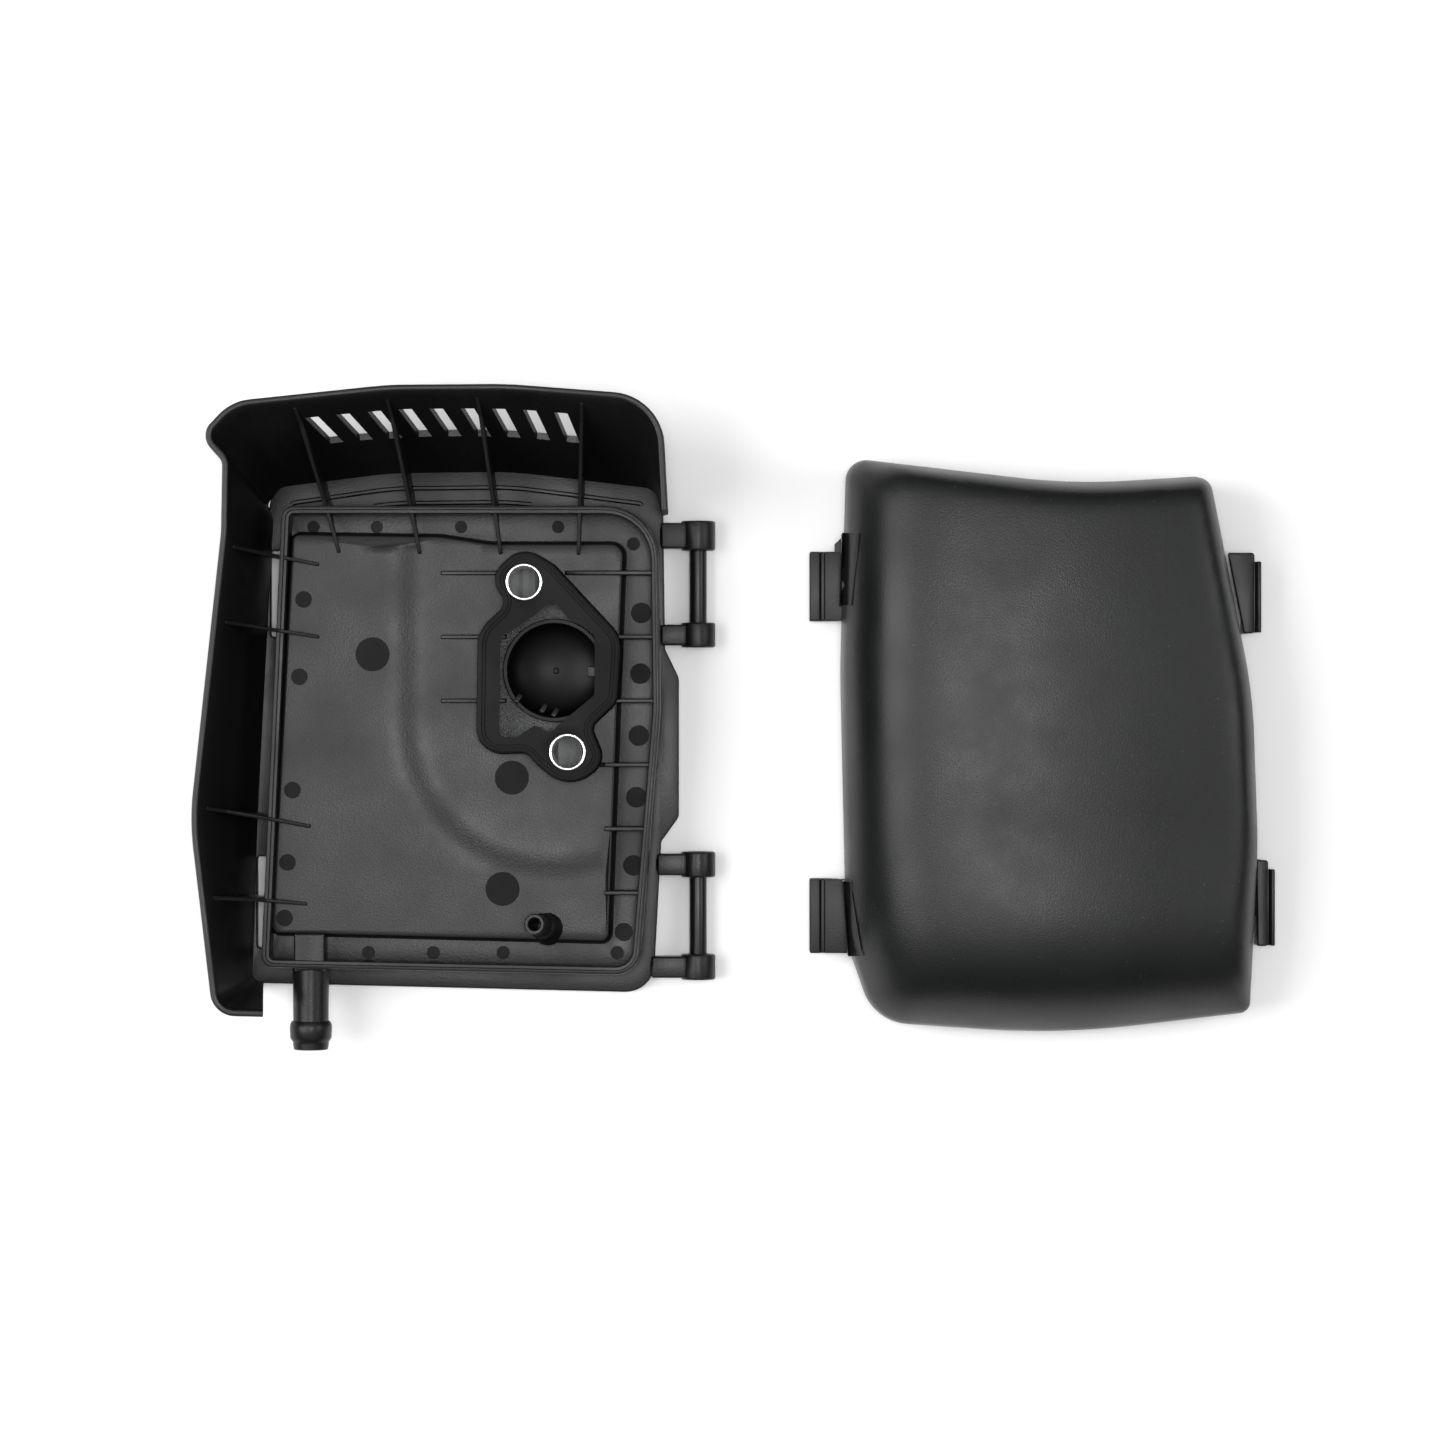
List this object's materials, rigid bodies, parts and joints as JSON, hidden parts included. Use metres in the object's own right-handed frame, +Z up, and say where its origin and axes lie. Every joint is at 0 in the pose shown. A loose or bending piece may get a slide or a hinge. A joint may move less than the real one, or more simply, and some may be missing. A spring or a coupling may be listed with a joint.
{
  "type": "air filter housing",
  "caption": "Small-engine air filter housing: base with louvred hood and carburettor flange, hooked and latched cover laid beside it, and a panel filter element.",
  "frame": {"origin": "centre of the bounding box on the surface that the open housing rests on", "axes": "+X from the base to the cover, +Y towards the louvred hood, +Z up, away from the base's front rim"},
  "size_m": [0.2595, 0.159, 0.042],
  "materials": {
    "base_plastic": "black moulded polypropylene, fine satin skin with light edges",
    "cover_plastic": "black moulded polypropylene, fine matte grain",
    "bar_plastic": "black moulded plastic, smooth",
    "zinc_steel": "bright zinc-plated steel sleeve",
    "filter_paper": "pleated grey filter paper",
    "filter_foam": "open-cell foam",
    "urethane": "soft moulded urethane"
  },
  "bodies": {
    "base": {"base_tray": "base_plastic", "back_plate": "base_plastic", "carb_flange": "base_plastic", "louvre_hood": "base_plastic", "side_shroud": "base_plastic", "intake_bowl": "base_plastic", "side_rib_1": "base_plastic", "side_rib_2": "base_plastic", "side_rib_3": "base_plastic", "side_rib_4": "base_plastic", "breather_spigot": "base_plastic", "vent_nipple": "base_plastic", "screw_sleeve_upper": "zinc_steel", "screw_sleeve_lower": "zinc_steel", "filter_seal": "urethane", "filter_paper": "filter_paper", "filter_foam": "filter_foam", "hinge_ear_upper_1": "base_plastic", "hinge_ear_upper_2": "base_plastic", "hinge_ear_lower_1": "base_plastic", "hinge_ear_lower_2": "base_plastic"},
    "hinge_bars": {"hinge_bar_upper": "bar_plastic", "hinge_bar_lower": "bar_plastic"},
    "cover": {"cover_shell": "cover_plastic", "cover_hook_upper": "cover_plastic", "cover_hook_lower": "cover_plastic"},
    "latch_upper": {"cover_latch_upper": "cover_plastic"},
    "latch_lower": {"cover_latch_lower": "cover_plastic"}
  },
  "joints": [
    {"name": "cover_swing", "type": "hinge", "parent": "base", "child": "hinge_bars", "pos_m": [-0.01002, -0.00774, 0.0042], "axis": [0, 1, 0], "range_deg": [0, 180]},
    {"name": "cover_unhook", "type": "slide", "parent": "hinge_bars", "child": "cover", "axis": [1, 0, 0], "range_m": [-0.0306, 0]},
    {"name": "latch_upper_flex", "type": "hinge", "parent": "cover", "child": "latch_upper", "pos_m": [0.12328, 0.03076, 0.01], "axis": [0, -1, 0], "range_deg": [0, 6], "stiffness_Nm_per_rad": 0.3},
    {"name": "latch_lower_flex", "type": "hinge", "parent": "cover", "child": "latch_lower", "pos_m": [0.12658, -0.04449, 0.01], "axis": [0, -1, 0], "range_deg": [0, 6], "stiffness_Nm_per_rad": 0.3}
  ],
  "couplings": [
    {"joint": "cover_unhook", "follows": "cover_swing", "m_per_rad": -0.00974}
  ]
}
